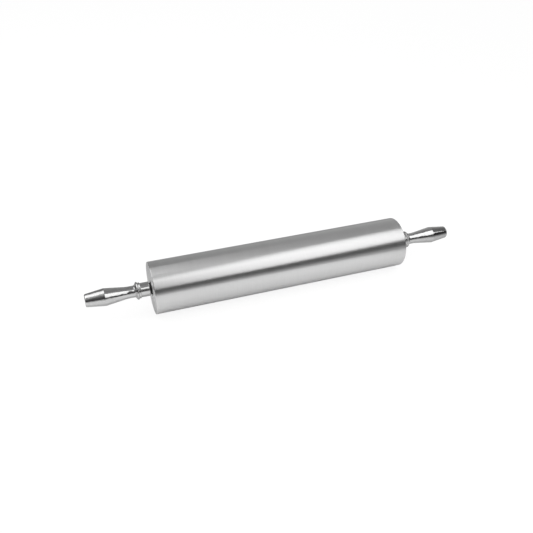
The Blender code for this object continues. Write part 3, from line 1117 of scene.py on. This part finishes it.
# The pale sheet under the pin, as its metal mirrors it: from corner to corner, and how softly it ends
SHEET_START = (-0.593, -1.6)
SHEET_END = (0.384, 0.366)
SHEET_FADE = 0.20
SHEET_LEVEL = 0.78

# Where the sheet is painted darker: the pin's shadow painted behind it and its contact shadow painted under
# it, by the distance back from the pin's axis
PAINTED_SHADOW_BEHIND_RISE = (0.0, 0.15)
PAINTED_SHADOW_BEHIND = 0.38
PAINTED_CONTACT_SHADOW_RISE = (-0.044, -0.026)
PAINTED_CONTACT_SHADOW_FALL = (0.015, 0.05)
PAINTED_CONTACT_SHADOW = 0.12

# The mirrored floor beyond the sheet, and a faint light painted on the floor in front of the pin
BEYOND_LEVEL = 0.26
PAINTED_FRONT_LIGHT_RISE = (-0.40, -0.06)
PAINTED_FRONT_LIGHT_FALL = (-0.06, 0.0)
PAINTED_FRONT_LIGHT = 0.06

# The room that the metal mirrors, from level in front, over the top, to level behind, in degrees
ROOM = (
    (0, 0.36),
    (10, 0.07),
    (26, 0.03),
    (50, 0.12),
    (80, 0.28),
    (105, 0.21),
    (125, 0.235),
    (150, 0.30),
    (165, 0.36),
    (180, 0.33),
)

# To the left the room is lighter high up and darker low down. Far left it is lighter still overhead.
ROOM_LIGHTER_LEFT = 3.8
ROOM_DARKER_LEFT = 0.9
ROOM_FAR_LEFT_FALL = (-0.80, -0.15)
ROOM_FAR_LEFT_UP = (0.70, 0.95)
ROOM_FAR_LEFT = 1.6

# Behind the pin the room is lighter the farther right it is, and darker to the left, down to a limit
ROOM_LIGHTER_BEHIND_RIGHT = 1.3
ROOM_EVEN_ACROSS = 0.25
ROOM_BEHIND_LEAST = -0.45

# Far right the room is darker, but for a pale wall behind the pin's end
ROOM_RIGHT_RISE = (0.50, 0.72)
ROOM_DARKER_RIGHT = 0.5
ROOM_END_RISE = (0.74, 0.90)
ROOM_END_BACK = (0.0, 0.3)
ROOM_END_WALL = 0.8

# Softboxes: middle, turns about X, Y and Z in degrees, width and height
KEY = ((0.257, -0.436, 0.724), (66.4, 6.0, 39.0), (1.06, 0.83))
FILL = ((-1.08, 0.56, 1.86), (-17.5, -28.0, 12.0), (1.92, 1.82))

# The width of the camera's sensor in millimetres
SENSOR_WIDTH = 36


class ROLLINGPIN_OT_stage(Operator):
    """Sets the floor, the softboxes, the room and the camera"""

    bl_idname = "rolling_pin.stage"
    bl_label = "Studio"

    def floor(self):
        """A large floor just under the pin, which keeps its shadow."""
        half = FLOOR_SIZE / 2
        mesh = bpy.data.meshes.new("floor")
        corners = [(-half, -half), (half, -half), (half, half), (-half, half)]
        mesh.from_pydata([(x, y, -FLOOR_DEPTH) for x, y in corners], [], [(0, 1, 2, 3)])
        mesh.materials.append(self.floor_white())
        floor = bpy.data.objects.new("floor", mesh)
        bpy.context.scene.collection.objects.link(floor)

    def floor_white(self):
        """White to the camera, pale to dull surfaces, and a pale sheet with soft edges to metal, with painted
        shadows behind and under the pin and painted light in front of it.
        """
        material, shader = new_material("floor_white")
        seen = shader.ray("Camera")
        mirrored = shader.ray("Glossy") + shader.ray("Transmission")
        across, back, _ = shader.parts(shader.place())
        sheet = 1
        for place, start, end in zip((across, back), SHEET_START, SHEET_END):
            rise = (start - SHEET_FADE, start + SHEET_FADE)
            fall = (end - SHEET_FADE, end + SHEET_FADE)
            sheet = place.between(rise, fall) * sheet
        # Painted light: a faint glow painted on the floor in front of the pin, seen only by metal
        front = back.between(PAINTED_FRONT_LIGHT_RISE, PAINTED_FRONT_LIGHT_FALL)
        # Painted shadows on the sheet that metal mirrors: the pin's contact shadow under it and its shadow
        # behind it
        under = back.between(PAINTED_CONTACT_SHADOW_RISE, PAINTED_CONTACT_SHADOW_FALL)
        pale = SHEET_LEVEL - back.ramp(*PAINTED_SHADOW_BEHIND_RISE) * PAINTED_SHADOW_BEHIND - under * PAINTED_CONTACT_SHADOW
        farthest = ROOM[-1][1]
        beyond = BEYOND_LEVEL + back.ramp(-SHEET_FADE, SHEET_FADE) * (farthest - BEYOND_LEVEL)
        tone = FLOOR_TONE - seen * FLOOR_LESS_SEEN + mirrored * (sheet * pale - FLOOR_TONE)
        glow = seen * FLOOR_GLOW_SEEN + mirrored * ((1 - sheet) * beyond + front * PAINTED_FRONT_LIGHT)
        dull = shader.node("ShaderNodeBsdfDiffuse", {}, {"Color": shader.grey(tone)})
        light = shader.node("ShaderNodeEmission", {}, {"Color": (1, 1, 1, 1), "Strength": glow})
        shader.out(shader.node("ShaderNodeAddShader", {}, {0: dull, 1: light}))
        return material

    def room(self):
        """White to the camera, a plain room to dull surfaces, and a shaded room to metal."""
        world = bpy.data.worlds.new("studio_room")
        bpy.context.scene.world = world
        shader = Shader(world)
        seen = shader.ray("Camera")
        glossy = shader.ray("Glossy")
        across, back, up = shader.parts(shader.node("ShaderNodeTexCoord", {}, {}, "Generated"))
        over = shader.math("ARCTAN2", up, back * -1) / pi
        stops = [(degrees / 180, level) for degrees, level in ROOM]
        walls = shader.node("ShaderNodeValToRGB", {"stops": stops}, {"Fac": over})
        left = shader.math("MAXIMUM", across * -1, 0.0)
        walls = walls * (1 + left * (up * ROOM_LIGHTER_LEFT - ROOM_DARKER_LEFT))
        behind = shader.math("MAXIMUM", back, 0.0)
        slant = shader.math("MAXIMUM", across - ROOM_EVEN_ACROSS, ROOM_BEHIND_LEAST)
        walls = walls * (1 + behind * slant * ROOM_LIGHTER_BEHIND_RIGHT)
        walls = walls * (1 - across.ramp(*ROOM_RIGHT_RISE) * ROOM_DARKER_RIGHT)
        walls = walls + across.ramp(*ROOM_END_RISE) * back.ramp(*ROOM_END_BACK) * ROOM_END_WALL
        far_left = (1 - across.ramp(*ROOM_FAR_LEFT_FALL)) * up.ramp(*ROOM_FAR_LEFT_UP)
        walls = walls + far_left * ROOM_FAR_LEFT
        level = seen + (1 - seen) * (glossy * walls + (1 - glossy) * studio().room_level)
        shader.out(
            shader.node("ShaderNodeBackground", {}, {"Color": (1, 1, 1, 1), "Strength": level}),
            "ShaderNodeOutputWorld",
        )

    def softbox(self, name, placing, radiance):
        """A square lamp, as bright all over as the radiance says, and not seen by the camera."""
        centre, turns, size = placing
        data = bpy.data.lights.new(name, "AREA")
        data.shape = "RECTANGLE"
        data.size, data.size_y = size
        data.energy = radiance * pi * size[0] * size[1]
        lamp = bpy.data.objects.new(name, data)
        lamp.location = centre
        lamp.rotation_euler = [radians(turn) for turn in turns]
        lamp.visible_camera = False
        bpy.context.scene.collection.objects.link(lamp)

    def camera(self):
        """The camera at the photograph's viewing angle."""
        view = studio()
        data = bpy.data.cameras.new("camera")
        data.lens = view.lens
        data.sensor_width = SENSOR_WIDTH
        camera = bpy.data.objects.new("camera", data)
        level = cos(view.elevation)
        back = Vector((sin(view.azimuth) * level, -cos(view.azimuth) * level, sin(view.elevation)))
        camera.location = Vector((view.aim_along, 0, view.aim_above)) + back * view.distance
        camera.rotation_mode = "QUATERNION"
        camera.rotation_quaternion = back.to_track_quat("Z", "Y")
        bpy.context.scene.collection.objects.link(camera)
        bpy.context.scene.camera = camera

    def execute(self, context):
        context.scene.view_settings.view_transform = "Standard"
        self.floor()
        self.room()
        self.softbox("key_softbox", KEY, studio().key_strength)
        self.softbox("fill_softbox", FILL, studio().fill_strength)
        self.camera()
        return {"FINISHED"}


OPERATORS = (
    ROLLINGPIN_OT_barrel,
    ROLLINGPIN_OT_end_plugs,
    ROLLINGPIN_OT_handles,
    ROLLINGPIN_OT_spacers,
    ROLLINGPIN_OT_rod,
    ROLLINGPIN_OT_rings,
    ROLLINGPIN_OT_balls,
    ROLLINGPIN_OT_clips,
    ROLLINGPIN_OT_stage,
)


class ROLLINGPIN_PT_pieces(Panel):
    """Lists the pin's sizes, finishes and pieces"""

    bl_idname = "ROLLINGPIN_PT_pieces"
    bl_label = "Rolling Pin"
    bl_space_type = "VIEW_3D"
    bl_region_type = "UI"
    bl_category = "Rolling Pin"

    def draw(self, context):
        for group in (context.scene.pin_sizes, context.scene.pin_finishes, context.scene.pin_studio):
            box = self.layout.box()
            for name in group.bl_rna.properties.keys():
                if name not in ("rna_type", "name"):
                    box.prop(group, name)
        for operator in OPERATORS:
            self.layout.operator(operator.bl_idname)


CLASSES = (PinSizes, PinFinishes, PinStudio, *OPERATORS, ROLLINGPIN_PT_pieces)


def register():
    """Adds the pin's classes and settings to Blender."""
    for each in CLASSES:
        bpy.utils.register_class(each)
    bpy.types.Scene.pin_sizes = PointerProperty(type=PinSizes)
    bpy.types.Scene.pin_finishes = PointerProperty(type=PinFinishes)
    bpy.types.Scene.pin_studio = PointerProperty(type=PinStudio)


def unregister():
    """Takes them out again."""
    del bpy.types.Scene.pin_studio
    del bpy.types.Scene.pin_finishes
    del bpy.types.Scene.pin_sizes
    for each in reversed(CLASSES):
        bpy.utils.unregister_class(each)


def main():
    """Makes the pin and its studio."""
    register()
    bpy.ops.rolling_pin.barrel()
    bpy.ops.rolling_pin.end_plugs()
    bpy.ops.rolling_pin.handles()
    bpy.ops.rolling_pin.spacers()
    bpy.ops.rolling_pin.rod()
    bpy.ops.rolling_pin.rings()
    bpy.ops.rolling_pin.balls()
    bpy.ops.rolling_pin.clips()
    bpy.ops.rolling_pin.stage()


if __name__ == "__main__":
    main()
